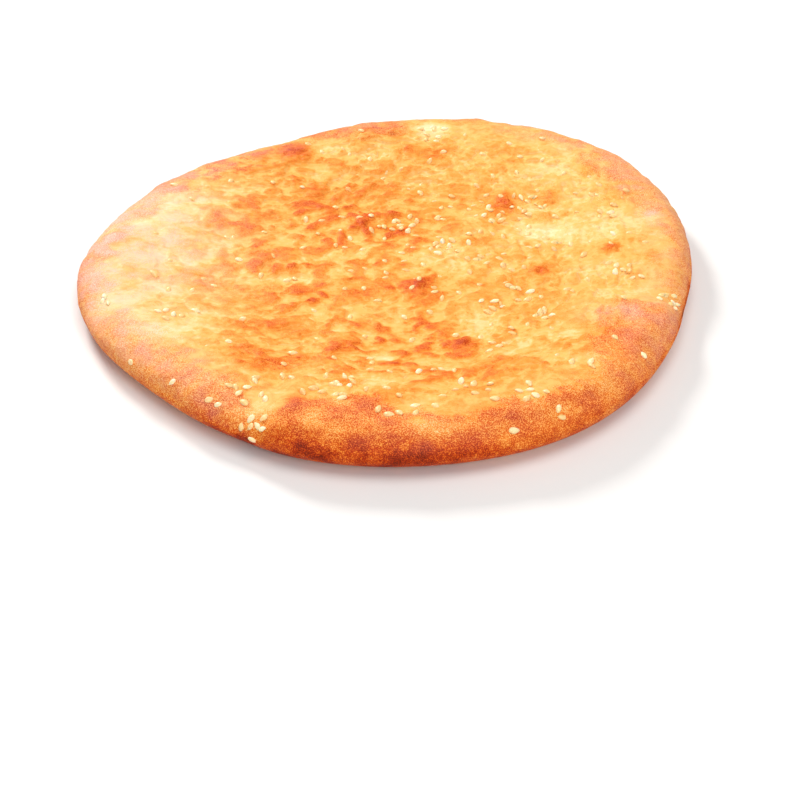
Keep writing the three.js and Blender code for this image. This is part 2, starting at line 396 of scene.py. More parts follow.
def outer_browning_and_shade(angle, reach, level):
    """How brown the rim's outer side is, darker towards the foot, partly by painted shade."""
    outer_side = smooth((reach - CREST_RADIUS) / CREST_INSET)
    # Painted shade, in part: the outer side darkens towards the foot
    foot_shade = 1 - smooth(level / RIM_HEIGHT)
    return outer_side * by_angle(OUTER_BROWNING_AND_SHADE, angle) * between(OUTER_SHARE, foot_shade)


def flour_and_sheen_amount(angle, reach, level, x, y):
    """Flour with painted sheen on the upper part of the rim, and in patches of its own."""
    rim = smooth((reach / RADIUS - FLOUR_AND_SHEEN_FROM) / FLOUR_AND_SHEEN_BLEND)
    upper = smooth((level - EQUATOR_HEIGHT) / FLOUR_AND_SHEEN_RISE)
    return np.maximum(rim * upper * by_angle(RIM_FLOUR_AND_SHEEN, angle), strongest(FLOUR_AND_SHEEN_PATCHES, x, y))


# %% [markdown]
# ## The bread's surface
# The rule gives each point its place. Each seed presses a small dimple into the dough, and each
# scorched spot stands a little proud, since it puffed up before it burnt. The result is centred
# on its own footprint, as the solid is.

# %% Placing the points
DIMPLE_RADIUS = 2.4 * MM
DIMPLE_DEPTH = 0.25 * MM
SPOT_RISE = 0.6 * MM


def seed_dimples(x, y):
    """How deep the dimples are, worked out for each seed at the points near it alone."""
    depth = np.zeros_like(x)
    limit = 3 * DIMPLE_RADIUS
    for seed_x, seed_y in seeds:
        near = (np.abs(x - seed_x) < limit) & (np.abs(y - seed_y) < limit)
        away = ((x[near] - seed_x) ** 2 + (y[near] - seed_y) ** 2) / DIMPLE_RADIUS**2
        depth[near] = np.maximum(depth[near], np.exp(-away))
    return DIMPLE_DEPTH * depth


turned_angle = np.arctan2(np.sin(angle), np.cos(angle))
stretch = outline_radius(turned_angle) / RADIUS
plan_x = reach * np.cos(turned_angle) * stretch
plan_y = reach * np.sin(turned_angle) * stretch
above = smooth((level - EQUATOR_HEIGHT) / (MIDDLE_THICKNESS - EQUATOR_HEIGHT))
on_top = np.where(on_underside, 0, above)
on_rim = smooth((reach - MIDDLE_RADIUS) / (CREST_RADIUS - MIDDLE_RADIUS))
rim_shape = on_rim * (sum_of_waves(RIM_WAVES, turned_angle) - dent_depth(turned_angle))
blisters = (1 - on_rim) * blister_height(plan_x, plan_y)
dimples = seed_dimples(plan_x, plan_y)
spots = strongest(SPOTS, plan_x, plan_y) * on_top
height = level + on_top * (rim_shape + blisters - dimples) + SPOT_RISE * spots
middle = Vector(((plan_x.min() + plan_x.max()) / 2, (plan_y.min() + plan_y.max()) / 2, 0))
points = np.column_stack([plan_x - middle.x, plan_y - middle.y, height])
print("footprint's middle lies at", [round(v / MM, 2) for v in middle], "mm of the rule's own middle")


# %% A mesh object from points and faces
def make_piece(name, points, faces):
    mesh = bpy.data.meshes.new(name)
    mesh.from_pydata(np.asarray(points).tolist(), [], faces)
    mesh.validate()
    mesh.shade_smooth()
    piece = bpy.data.objects.new(name, mesh)
    bpy.context.scene.collection.objects.link(piece)
    return piece


def add_values(piece, name, values):
    """Stores one number for each point, for the shader and the node trees to read."""
    layer = piece.data.attributes.new(name, "FLOAT", "POINT")
    layer.data.foreach_set("value", np.asarray(values, dtype=np.float32))


bread = make_piece("naan_bread", points, faces)

# %% [markdown]
# ## Numbers stored on the points
# The node trees and the shader have to know what each point is: rim or middle, scorched or pale,
# folded or calm. Each of these is stored on the mesh as a named number, so that shape and colour
# follow the same rule.

# %% Storing the numbers
# In the form of the spots: where the middle browns most, where folds lie flatter, where pits are
BUSY_PATCHES = [(-30, 2, 54, 68, 0.9), (-8, -52, 60, 26, 1.0)]
CALM_PATCHES = [(-52, 34, 44, 40, 0.3), (-26, -14, 18, 16, 0.3), (12, 8, 36, 44, 0.2)]
PITTED_PATCHES = [(38, 12, 52, 60, 1.0)]
LEAST_BUSY = 0.25
# Shares of the radius between which the folds fade and the rim's lumps set in
FOLDS_FADE = (0.76, 0.90)
LUMPS_START = (0.74, 0.88)
# How much of the folds is lost on the rim, and where the crust is palest
LOST_ON_RIM = 0.85
LOST_WHERE_PALE = 0.7
UNDERSIDE_BLEND = 12 * MM
# The folds run round the bread, but at the left they come to run across it
ACROSS_SHARE = 0.65
ACROSS_FROM = 10 * MM
ACROSS_BLEND = 40 * MM


def step_out(limits):
    """Rises from 0 to 1 between two shares of the radius."""
    return smooth((reach / RADIUS - limits[0]) / (limits[1] - limits[0]))


past_line, rim_brown = rim_browning(turned_angle, reach, level)
# The rim's outer side: browning, with painted shade towards the foot
outside = outer_browning_and_shade(turned_angle, reach, level)
cream = on_top * (1 - spots) * strongest(PALE_PATCHES, plan_x, plan_y)
inner = on_top * (1 - LOST_ON_RIM * step_out(FOLDS_FADE))
calm = strongest(CALM_PATCHES, plan_x, plan_y)
squeeze = 1 - ACROSS_SHARE * smooth((-plan_x - ACROSS_FROM) / ACROSS_BLEND)
stored = {
    "rim_line": past_line,
    "rim_brown": rim_brown,
    "outside": np.where(on_underside, 0.0, outside),
    "spot": spots,
    "cream": cream,
    # Flour, with a painted sheen in it
    "flour": on_top * flour_and_sheen_amount(turned_angle, reach, level, plan_x, plan_y),
    "busy": on_top * (strongest(BUSY_PATCHES, plan_x, plan_y) + LEAST_BUSY),
    "topside": on_top,
    "rim": on_top * step_out(LUMPS_START),
    "relief": inner * (1 - LOST_WHERE_PALE * cream) * (1 - calm),
    "pitted": inner * strongest(PITTED_PATCHES, plan_x, plan_y),
    "underside": on_underside * smooth((FOOT_RADIUS - reach) / UNDERSIDE_BLEND),
    "ring": reach * np.hypot(squeeze * np.cos(turned_angle), np.sin(turned_angle)),
}
for name, values in stored.items():
    add_values(bread, name, values)
    print(f"{name}: from {values.min():.2f} to {values.max():.2f}")

# %% [markdown]
# ## Helpers for node trees
# Trees for shapes and for colours are built by the same short calls: one adds a node and sets or
# links its inputs, others do sums with it, and one starts a new tree with named inputs.

# %% Adding nodes
NUMBER = "NodeSocketFloat"


def add_node(tree, kind, inputs=None, **settings):
    """Adds a node. An input that is a socket is linked, and any other is set as a value."""
    node = tree.nodes.new(kind)
    for name, value in settings.items():
        setattr(node, name, value)
    for key, value in (inputs or {}).items():
        if isinstance(value, bpy.types.NodeSocket):
            tree.links.new(value, node.inputs[key])
        else:
            node.inputs[key].default_value = value
    return node


def do_math(tree, operation, *values):
    node = add_node(tree, "ShaderNodeMath", dict(enumerate(values)), operation=operation)
    return node.outputs[0]


def scaled(tree, value, factor, start):
    """A value times a factor, on top of a start."""
    return do_math(tree, "MULTIPLY_ADD", value, factor, start)


def product(tree, first, *others):
    """Several values, multiplied."""
    for other in others:
        first = do_math(tree, "MULTIPLY", first, other)
    return first


def remap(tree, value, low, high, to_low=0.0, to_high=1.0):
    """Takes low..high to to_low..to_high along a smooth curve, and holds it there outside."""
    inputs = {"Value": value, "From Min": low, "From Max": high, "To Min": to_low, "To Max": to_high}
    node = add_node(tree, "ShaderNodeMapRange", inputs, interpolation_type="SMOOTHSTEP")
    return node.outputs["Result"]


def new_tree(name, kind, inputs=(), outputs=()):
    tree = bpy.data.node_groups.new(name, kind)
    for label, socket, value in inputs:
        made = tree.interface.new_socket(label, in_out="INPUT", socket_type=socket)
        if value is not None:
            made.default_value = value
    for label, socket in outputs:
        tree.interface.new_socket(label, in_out="OUTPUT", socket_type=socket)
    start = tree.nodes.new("NodeGroupInput")
    end = tree.nodes.new("NodeGroupOutput")
    return tree, start.outputs, end.inputs


# %% [markdown]
# ## Relief of the crust
# Between the big blisters the real crust is crossed by short folds, puckered, pitted on its right
# side and lumpy on its rim. All of this is chance, so it suits Geometry Nodes: noise moves each
# point along its normal. The folds come from noise that is squeezed across the bread's rings, at
# places that wander, so that no fold runs straight. The noise is stored too, so that the tops of
# the folds can brown.


# %% Short calls for the relief
def noise_4d(tree, place, scale, seed, detail, output=0):
    inputs = {"Vector": place, "W": seed, "Scale": scale, "Detail": detail, "Roughness": 0.57}
    return add_node(tree, "ShaderNodeTexNoise", inputs, noise_dimensions="4D").outputs[output]


def swing(tree, noise, height):
    """A noise as a rise and fall about its middle value."""
    return product(tree, do_math(tree, "SUBTRACT", noise, 0.5), height)


def read_point(tree, name, kind="FLOAT"):
    node = add_node(tree, "GeometryNodeInputNamedAttribute", {"Name": name}, data_type=kind)
    return node.outputs["Attribute"]


def store_point(tree, shape, name, value, kind="FLOAT", domain="POINT"):
    inputs = {"Geometry": shape, "Name": name, "Value": value}
    node = add_node(tree, "GeometryNodeStoreNamedAttribute", inputs, data_type=kind, domain=domain)
    return node.outputs[0]


def scale_vector(tree, vector, scale):
    inputs = {0: vector, "Scale": scale}
    return add_node(tree, "ShaderNodeVectorMath", inputs, operation="SCALE").outputs[0]


def add_vectors(tree, first, second):
    return add_node(tree, "ShaderNodeVectorMath", {0: first, 1: second}, operation="ADD").outputs[0]


# %% The noises of the relief
SHAPE_OUT = [("Geometry", "NodeSocketGeometry")]
RELIEF_INPUTS = [
    ("Geometry", "NodeSocketGeometry", None),
    ("Fold Length", NUMBER, 6.5 * MM),
    ("Fold Width", NUMBER, 4.0 * MM),
    ("Fold Height", NUMBER, 1.5 * MM),
    ("Wander Size", NUMBER, 12 * MM),
    ("Wander", NUMBER, 10 * MM),
    ("Pucker Size", NUMBER, 3.4 * MM),
    ("Pucker Height", NUMBER, 0.4 * MM),
    ("Pit Spacing", NUMBER, 3.8 * MM),
    ("Pit Depth", NUMBER, 0.5 * MM),
    ("Swell Size", NUMBER, 26 * MM),
    ("Swell Height", NUMBER, 1.4 * MM),
    ("Lump Size", NUMBER, 10 * MM),
    ("Lump Height", NUMBER, 2.2 * MM),
    ("Seed", NUMBER, 4.0),
    ("Crust", "NodeSocketMaterial", None),
]
NOISE_SIZES = ("Wander Size", "Pucker Size", "Pit Spacing", "Swell Size", "Lump Size")
# Near the middle the rings are rounded off over this radius, so that the folds meet smoothly
RING_ROUNDING = 45 * MM
# Distance from a pit's middle, in shares of the spacing, at which it starts and is deepest
PIT_EDGES = (0.5, 0.12)


def fold_places(tree, given, wandering, shift):
    """Places that change fastest across the rings, so that noise read there lies along them."""
    plan = add_node(tree, "ShaderNodeSeparateXYZ", {0: wandering}).outputs
    ring_shift = add_node(tree, "ShaderNodeSeparateXYZ", {0: shift}).outputs[2]
    ring = do_math(tree, "ADD", read_point(tree, "ring"), ring_shift)
    squared = scaled(tree, ring, ring, RING_ROUNDING**2)
    parts = {
        0: do_math(tree, "DIVIDE", plan[0], given["Fold Length"]),
        1: do_math(tree, "DIVIDE", plan[1], given["Fold Length"]),
        2: do_math(tree, "DIVIDE", do_math(tree, "SQRT", squared), given["Fold Width"]),
    }
    return add_node(tree, "ShaderNodeCombineXYZ", parts).outputs[0]


def relief_noises(tree, given):
    """One noise for each kind of relief."""
    place = add_node(tree, "GeometryNodeInputPosition").outputs[0]
    seed = given["Seed"]
    per = {name: do_math(tree, "DIVIDE", 1.0, given[name]) for name in NOISE_SIZES}
    wobble = noise_4d(tree, place, per["Wander Size"], seed, 2.0, output=1)
    shift = scale_vector(tree, add_vectors(tree, wobble, (-0.5, -0.5, -0.5)), given["Wander"])
    wandering = add_vectors(tree, place, shift)
    cell_inputs = {"Vector": wandering, "W": seed, "Scale": per["Pit Spacing"]}
    cells = add_node(tree, "ShaderNodeTexVoronoi", cell_inputs, voronoi_dimensions="4D")
    pits = remap(tree, cells.outputs["Distance"], *PIT_EDGES)
    return {
        "fold": noise_4d(tree, fold_places(tree, given, wandering, shift), 1.0, seed, 1.7),
        "pucker": noise_4d(tree, wandering, per["Pucker Size"], seed, 1.0),
        "pit": product(tree, pits, read_point(tree, "pitted")),
        "swell": noise_4d(tree, place, per["Swell Size"], seed, 1.0),
        "lump": noise_4d(tree, place, per["Lump Size"], seed, 2.0),
    }


# %% The relief tree
# Noise between which a fold rises, and between which the swells bring the folds to full height
FOLD_EDGES = (0.41, 0.59)
SWELL_EDGES = (0.3, 0.65)
FOLDS_IN_DIPS = 0.5
PITTED_PUCKERS = 2.5


def relief_rise(tree, given, noise):
    """How far each point moves along its normal."""
    strength = remap(tree, noise["swell"], *SWELL_EDGES, FOLDS_IN_DIPS, 1.0)
    folds = product(tree, remap(tree, noise["fold"], *FOLD_EDGES), given["Fold Height"], strength)
    puckers = swing(tree, noise["pucker"], given["Pucker Height"])
    rise = product(tree, do_math(tree, "ADD", folds, puckers), read_point(tree, "relief"))
    extra = product(tree, read_point(tree, "pitted"), PITTED_PUCKERS)
    rise = scaled(tree, puckers, extra, rise)
    rise = do_math(tree, "SUBTRACT", rise, product(tree, noise["pit"], given["Pit Depth"]))
    swells = swing(tree, noise["swell"], given["Swell Height"])
    rise = scaled(tree, swells, read_point(tree, "topside"), rise)
    lumps = swing(tree, noise["lump"], given["Lump Height"])
    return scaled(tree, lumps, read_point(tree, "rim"), rise)


def relief_tree():
    tree, given, result = new_tree("crust_relief", "GeometryNodeTree", RELIEF_INPUTS, SHAPE_OUT)
    noise = relief_noises(tree, given)
    shape = given["Geometry"]
    for name in ("fold", "pucker", "pit"):
        shape = store_point(tree, shape, name, noise[name])
    normal = add_node(tree, "GeometryNodeInputNormal").outputs[0]
    offset = scale_vector(tree, normal, relief_rise(tree, given, noise))
    moved = add_node(tree, "GeometryNodeSetPosition", {"Geometry": shape, "Offset": offset})
    dress = {"Geometry": moved.outputs[0], "Material": given["Crust"]}
    dressed = add_node(tree, "GeometryNodeSetMaterial", dress)
    tree.links.new(dressed.outputs[0], result["Geometry"])
    return tree


# %% [markdown]
# ## From tree to mesh
# A tree works as a modifier on a piece. Its result is kept as a plain mesh instead, so that the
# finished piece carries no modifier and the seeds can be dropped on the real surface.


# %% Running a tree and keeping its result
def run_tree(piece, tree, values):
    """Runs a tree on a piece with the given inputs, and swaps the piece's mesh for the result."""
    modifier = piece.modifiers.new(tree.name, "NODES")
    modifier.node_group = tree
    sockets = {s.name: s.identifier for s in tree.interface.items_tree if s.in_out == "INPUT"}
    for name, value in values.items():
        modifier[sockets[name]] = value
    evaluated = piece.evaluated_get(bpy.context.evaluated_depsgraph_get())
    mesh = bpy.data.meshes.new_from_object(evaluated)
    piece.modifiers.clear()
    piece.data = mesh
    mesh.name = piece.name
    return piece


# %% [markdown]
# ## Noise shared by crust and seeds
# Close to, browned crust has a grain like the skin of a peach, and a sesame hull is finely
# ribbed. Both are the same effect at other sizes, so it is one group with named inputs. A second
# group makes softer patches, longer from side to side, since no bake is even.


# %% The noise groups
def grain_group():
    inputs = [
        ("Size", NUMBER, 0.4 * MM),
        ("Low", NUMBER, 0.3),
        ("High", NUMBER, 0.7),
    ]
    outputs = [("Grain", NUMBER)]
    tree, given, result = new_tree("fine_grain", "ShaderNodeTree", inputs, outputs)
    place = add_node(tree, "ShaderNodeTexCoord").outputs["Object"]
    scale = do_math(tree, "DIVIDE", 1.0, given["Size"])
    looks = {"Vector": place, "Scale": scale, "Detail": 1.0, "Roughness": 0.6}
    noise = add_node(tree, "ShaderNodeTexNoise", looks).outputs[0]
    tree.links.new(remap(tree, noise, given["Low"], given["High"]), result["Grain"])
    return tree


fine_grain = grain_group()


def patches_group():
    inputs = [
        ("Size", NUMBER, 6 * MM),
        ("Stretch", "NodeSocketVector", (0.6, 1.0, 1.0)),
        ("Low", NUMBER, 0.4),
        ("High", NUMBER, 0.65),
        ("Detail", NUMBER, 4.0),
    ]
    outputs = [("Patches", NUMBER)]
    tree, given, result = new_tree("soft_patches", "ShaderNodeTree", inputs, outputs)
    place = add_node(tree, "ShaderNodeTexCoord").outputs["Object"]
    sides = {0: place, 1: given["Stretch"]}
    place = add_node(tree, "ShaderNodeVectorMath", sides, operation="MULTIPLY").outputs[0]
    scale = do_math(tree, "DIVIDE", 1.0, given["Size"])
    looks = {"Vector": place, "Scale": scale, "Detail": given["Detail"], "Roughness": 0.55}
    noise = add_node(tree, "ShaderNodeTexNoise", looks).outputs[0]
    tree.links.new(remap(tree, noise, given["Low"], given["High"]), result["Patches"])
    return tree


soft_patches = patches_group()


def place_group(tree, group, **values):
    node = add_node(tree, "ShaderNodeGroup", node_tree=group)
    for name, value in values.items():
        node.inputs[name].default_value = value
    return node.outputs[0]


# %% [markdown]
# ## The crust's finish
# Dough passes through the same colours wherever it bakes: cream, gold, orange, rust, dark brown.
# A colour ramp holds that row of colours, and the baking number picks from it; painted shade and
# painted highlights are worked into that number too. Noise breaks up every edge, since nothing in
# an oven browns evenly.

# %% Reading stored numbers and turning screen colours into light
def read_value(tree, name):
    return add_node(tree, "ShaderNodeAttribute", attribute_name=name).outputs["Fac"]


def light_colour(red, green, blue):
    """A colour given from 0 to 255 as a screen shows it, as the linear light a shader needs."""
    shares = [c / 255 for c in (red, green, blue)]
    return tuple(s / 12.92 if s <= 0.04045 else ((s + 0.055) / 1.055) ** 2.4 for s in shares) + (1.0,)


BAKED_COLOURS = [
    (0.00, (252, 226, 178)),
    (0.12, (250, 206, 138)),
    (0.24, (248, 184, 97)),
    (0.36, (243, 157, 64)),
    (0.48, (232, 122, 36)),
    (0.62, (210, 82, 14)),
    (0.76, (182, 52, 6)),
    (0.90, (146, 38, 3)),
    (1.00, (112, 30, 2)),
]
SPECK_COLOUR = (252, 186, 140)
# Pinkish pale of flour, which also serves as a painted sheen on the rim and the left side
FLOUR_AND_SHEEN_COLOUR = (250, 200, 178)


def colour_ramp(tree, value, stops):
    ramp = add_node(tree, "ShaderNodeValToRGB", {"Fac": value})
    ramp.color_ramp.interpolation = "EASE"
    while len(ramp.color_ramp.elements) < len(stops):
        ramp.color_ramp.elements.new(0.5)
    for element, (at, colour) in zip(ramp.color_ramp.elements, stops):
        element.position = at
        element.color = light_colour(*colour)
    return ramp.outputs["Color"]


def mix_colours(tree, share, first, second):
    inputs = {"Factor": share, "A": first, "B": second}
    return add_node(tree, "ShaderNodeMix", inputs, data_type="RGBA").outputs["Result"]


def weighted_sum(tree, *parts):
    """Adds values, each times its weight."""
    total = 0.0
    for value, weight in parts:
        total = scaled(tree, value, weight, total)
    return total


def new_material(name):
    material = bpy.data.materials.new(name)
    material.use_nodes = True
    tree = material.node_tree
    return material, tree, tree.nodes["Principled BSDF"]


# %% What the crust's colour follows
CRUST_VALUES = (
    "spot busy cream pitted flour underside outside rim_line rim_brown relief fold pucker pit"
).split()
# Name, size, stretch from side to side, low, high and detail
PATCHES = [
    ("crumbs", 1.4 * MM, 0.7, 0.34, 0.66, 2.0),
    ("ragged", 6 * MM, 0.8, 0.3, 0.7, 4.0),
    ("mottle", 13 * MM, 0.7, 0.36, 0.62, 4.0),
    ("broad", 26 * MM, 0.8, 0.3, 0.7, 4.0),
]


def crust_values(tree):
    """The numbers stored on the points, and the noises, by name."""
    point = {name: read_value(tree, name) for name in CRUST_VALUES}
    point["grain"] = place_group(tree, fine_grain, Size=0.32 * MM, Low=0.4, High=0.68)
    point["pepper"] = place_group(tree, fine_grain, Size=0.9 * MM, Low=0.66, High=0.76)
    for name, size, side, low, high, detail in PATCHES:
        looks = {"Size": size, "Stretch": (side, 1.0, 1.0), "Low": low, "High": high}
        point[name] = place_group(tree, soft_patches, Detail=detail, **looks)
    return point


# %% How far the crust is baked
FOLD_TOP = (0.44, 0.67)
FOLD_VALLEY = (0.46, 0.36)
# Painted highlights: thin pale lines where the fold noise passes this level, with this width
HIGHLIGHT_FOLD_LEVEL = 0.47
HIGHLIGHT_LINE_WIDTH = (0.024, 0.004)
PUCKER_HOLLOW = (0.5, 0.3)
RIM_LINE_EDGES = (-0.3, 1.1)
MOST_TOAST_AND_SHADE = 1.15


def blotch_baking(tree, point):
    """Brown tops of the folds, and the scorched spots."""
    tops = remap(tree, scaled(tree, point["ragged"], 0.06, point["fold"]), *FOLD_TOP)
    uneven = scaled(tree, point["mottle"], 0.5, 0.5)
    paler = scaled(tree, point["cream"], -0.4, 1.0)
    browned = product(tree, tops, uneven, point["busy"], 0.3, paler)
    scorch = product(tree, point["spot"], scaled(tree, tops, 0.06, 0.3))
    return do_math(tree, "MAXIMUM", browned, scorch)


def rim_toast_and_foot_shade(tree, point):
    """The toasted rim: ragged where it meets the middle, even on the outer side, where it also holds
    painted shade towards the foot.
    """
    line = weighted_sum(
        tree,
        (point["rim_line"], 1.0),
        (point["ragged"], 1.0),
        (point["mottle"], 0.9),
        (1.0, -0.95),
    )
    rim_top = product(tree, remap(tree, line, *RIM_LINE_EDGES), point["rim_brown"])
    return do_math(tree, "MINIMUM", do_math(tree, "MAXIMUM", rim_top, point["outside"]), MOST_TOAST_AND_SHADE)


def baking(tree, point, blotches, toast_and_shade, grainy):
    """The number that picks the colour: all that bakes the crust more or less than the rest, and the
    painted shade and painted highlights worked into it.
    """
    uneven = scaled(tree, point["ragged"], 0.6, 0.7)
    edge = product(tree, toast_and_shade, uneven, scaled(tree, point["cream"], -0.25, 0.5))
    below = product(tree, point["underside"], scaled(tree, point["broad"], 0.35, 0.1))
    valleys = product(tree, remap(tree, point["fold"], *FOLD_VALLEY), point["busy"])
    from_highlight_line = do_math(tree, "ABSOLUTE", do_math(tree, "SUBTRACT", point["fold"], HIGHLIGHT_FOLD_LEVEL))
    # Painted highlight: thin pale lines along the crests of the folds
    crest_highlights = product(tree, remap(tree, from_highlight_line, *HIGHLIGHT_LINE_WIDTH), point["relief"])
    # Painted shade: the pucker hollows are coloured darker
    hollow_shade = product(tree, remap(tree, point["pucker"], *PUCKER_HOLLOW), point["pitted"])
    streaks = product(tree, do_math(tree, "SUBTRACT", point["mottle"], 0.65), point["cream"])
    speckle = product(tree, do_math(tree, "SUBTRACT", 0.33, point["grain"]), grainy)
    return weighted_sum(
        tree,
        (do_math(tree, "MAXIMUM", blotches, edge), 1.0),
        (do_math(tree, "MINIMUM", blotches, edge), 0.4),
        (valleys, -0.06),
        (crest_highlights, -0.08),
        (point["busy"], 0.07),
        (below, 1.0),
        # Pits coloured darker: partly browner crust, partly painted shade
        (point["pit"], 0.09),
        (hollow_shade, 0.04),
        (point["cream"], -0.16),
        (streaks, 0.1),
        (point["broad"], 0.12),
        (point["crumbs"], 0.08),
        (point["pepper"], 0.12),
        (speckle, 0.42),
        (1.0, 0.125),
    )


# %% The crust material
def crust_colour(tree, point):
    """Baked colour, with pale specks in the grain, and flour with painted sheen on top."""
    blotches = blotch_baking(tree, point)
    toast_and_shade = rim_toast_and_foot_shade(tree, point)
    rim_grain = do_math(tree, "MINIMUM", product(tree, toast_and_shade, 2.1), 0.83)
    grainy = do_math(tree, "MAXIMUM", rim_grain, product(tree, blotches, 1.5))
    baked = baking(tree, point, blotches, toast_and_shade, grainy)
    fading = remap(tree, point["outside"], 0.0, 0.9, 0.25, 0.0)
    specks = product(tree, point["grain"], grainy, fading)
    colour = colour_ramp(tree, baked, BAKED_COLOURS)
    colour = mix_colours(tree, specks, colour, light_colour(*SPECK_COLOUR))
    patchy = scaled(tree, point["ragged"], 1.0, 0.2)
    # Flour and painted sheen: the pinkish pale mixed over the crust colour
    flour_and_sheen_share = product(tree, point["flour"], patchy, scaled(tree, point["grain"], 0.9, 0.6))
    return mix_colours(tree, flour_and_sheen_share, colour, light_colour(*FLOUR_AND_SHEEN_COLOUR))


def crust_bump(tree, point):
    """Grain, crumbs and the edges of folds, which are too fine for the mesh."""
    skin = product(tree, remap(tree, point["fold"], 0.43, 0.52), point["relief"])
    height = weighted_sum(tree, (point["grain"], 0.6), (point["crumbs"], 0.8), (skin, 1.8))
    inputs = {"Height": height, "Strength": 0.45, "Distance": 0.25 * MM}
    return add_node(tree, "ShaderNodeBump", inputs).outputs["Normal"]


def crust_material():
    material, tree, shader = new_material("naan_crust")
    point = crust_values(tree)
    roughness = weighted_sum(tree, (point["grain"], 0.12), (point["ragged"], 0.1), (1.0, 0.4))
    tree.links.new(crust_colour(tree, point), shader.inputs["Base Color"])
    tree.links.new(roughness, shader.inputs["Roughness"])
    tree.links.new(crust_bump(tree, point), shader.inputs["Normal"])
    shader.inputs["Specular IOR Level"].default_value = 0.1
    return material


crust = crust_material()
run_tree(bread, relief_tree(), {"Crust": crust})
print("bread after its relief:", [round(v / MM, 1) for v in bread.dimensions], "mm")

# %% [markdown]
# ## The seeds
# A hulled sesame seed is a flat drop, blunt at one end and narrower at the other. One is modelled
# with few faces, a quarter of a millimetre slimmer than the solid's, which have fewer sides. A
# tree drops a copy from above every seed's place onto the crust, lays it along the surface, turns
# it by chance and sinks it in.

# %% One seed
SEED_LENGTH = 3.0 * MM
SEED_WIDTH = 1.95 * MM
SEED_THICKNESS = 1.3 * MM
SEED_SIDES = 8
SEED_RINGS = 6
SEED_TAPER = 0.38


def seed_mesh():
    points = [(-SEED_LENGTH / 2, 0.0, 0.0)]
    for ring in range(1, SEED_RINGS):
        turn = math.pi * ring / SEED_RINGS
        along = -math.cos(turn)
        girth = math.sin(turn) * (1 - SEED_TAPER * max(along, 0.0))
        for side in range(SEED_SIDES):
            around = 2 * math.pi * side / SEED_SIDES
            across = girth * math.cos(around) * SEED_WIDTH / 2
            up = girth * math.sin(around) * SEED_THICKNESS / 2
            points.append((along * SEED_LENGTH / 2, across, up))
    points.append((SEED_LENGTH / 2, 0.0, 0.0))
    tip = len(points) - 1
    faces = []
    for side in range(SEED_SIDES):
        after = (side + 1) % SEED_SIDES
        faces.append((0, 1 + after, 1 + side))
        for ring in range(SEED_RINGS - 2):
            a = 1 + ring * SEED_SIDES
            b = a + SEED_SIDES
            faces.append((a + side, a + after, b + after, b + side))
        last = 1 + (SEED_RINGS - 2) * SEED_SIDES
        faces.append((last + side, last + after, tip))
    return points, faces


seed_shape = make_piece("seed_shape", *seed_mesh())


# %% Landing and laying the seeds
SCATTER_INPUTS = [
    ("Geometry", "NodeSocketGeometry", None),
    ("Bread", "NodeSocketObject", None),
    ("Seed Shape", "NodeSocketObject", None),
    ("Sunk", NUMBER, 0.3 * MM),
    ("Lean", NUMBER, 0.4),
    ("Seed", "NodeSocketInt", 3),
    ("Hull", "NodeSocketMaterial", None),
]
RAY_LENGTH = 0.1
# In shares of Sunk: a seed on top has its middle a little above the crust, and deep ones go lower
TOP_SEED_SINKS = -0.4
DEEP_SEED_SINKS_BY = 1.6


def landed_seeds(tree, given):
    """Drops the seeds' places straight down on the bread, keeps the way up there, and sinks them."""
    shape = add_node(tree, "GeometryNodeObjectInfo", {"Object": given["Bread"]}).outputs["Geometry"]
    ray = {"Target Geometry": shape, "Ray Direction": (0.0, 0.0, -1.0), "Ray Length": RAY_LENGTH}
    fall = add_node(tree, "GeometryNodeRaycast", ray).outputs
    places = store_point(tree, given["Geometry"], "up", fall["Hit Normal"], kind="FLOAT_VECTOR")
    share = scaled(tree, read_point(tree, "deeper"), DEEP_SEED_SINKS_BY, TOP_SEED_SINKS)
    depth = product(tree, given["Sunk"], share, -1.0)
    down = scale_vector(tree, read_point(tree, "up", kind="FLOAT_VECTOR"), depth)
    move = {"Geometry": places, "Position": fall["Hit Position"], "Offset": down}
    return add_node(tree, "GeometryNodeSetPosition", move).outputs[0]


def lying_turn(tree, given):
    """Lays a seed along the surface, spun round and leaning a little by chance."""
    up = read_point(tree, "up", kind="FLOAT_VECTOR")
    flat = add_node(tree, "FunctionNodeAlignRotationToVector", {"Vector": up}, axis="Z").outputs[0]
    spin = add_node(tree, "ShaderNodeCombineXYZ", {2: read_point(tree, "spin")}).outputs[0]
    span = {"Min": (-1.0, -1.0, 0.0), "Max": (1.0, 1.0, 0.0), "Seed": given["Seed"]}
    lean = add_node(tree, "FunctionNodeRandomValue", span, data_type="FLOAT_VECTOR").outputs[0]
    angles = add_vectors(tree, spin, scale_vector(tree, lean, given["Lean"]))
    turn = add_node(tree, "FunctionNodeEulerToRotation", {0: angles}).outputs[0]
    both = {"Rotation": flat, "Rotate By": turn}
    return add_node(tree, "FunctionNodeRotateRotation", both, rotation_space="LOCAL").outputs[0]


# %% The tree that scatters them
DEEP_TOAST = 0.9


